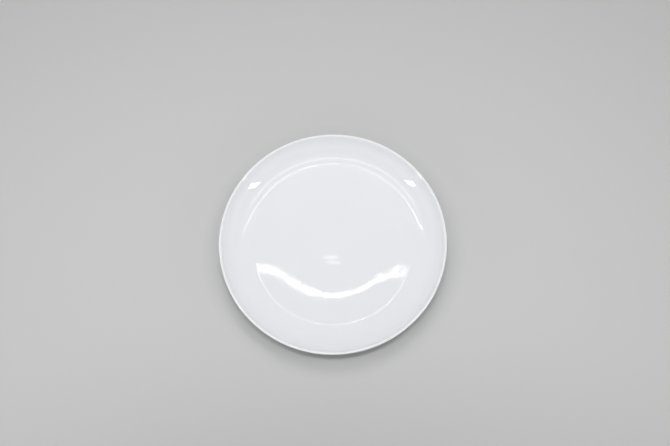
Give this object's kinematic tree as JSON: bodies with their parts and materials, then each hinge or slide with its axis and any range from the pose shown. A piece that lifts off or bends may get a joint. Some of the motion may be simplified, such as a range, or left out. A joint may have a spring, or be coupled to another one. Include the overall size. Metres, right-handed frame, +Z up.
{
  "type": "bread plate",
  "caption": "Small round coupe plate of white glazed porcelain with a flat well, a coved upright rim and a foot ring, for bread at the table.",
  "frame": {"origin": "under the middle of the plate, on the surface that its foot ring stands on", "axes": "+Z up out of the well along the plate's axis; the plate is round, and -Y is the side nearest the picture's camera"},
  "size_m": [0.16, 0.16, 0.019],
  "materials": {
    "glazed_porcelain": "clear gloss glaze over white porcelain, bare and matt where the foot ring stands"
  },
  "bodies": {
    "root": {"plate": "glazed_porcelain"}
  },
  "joints": []
}
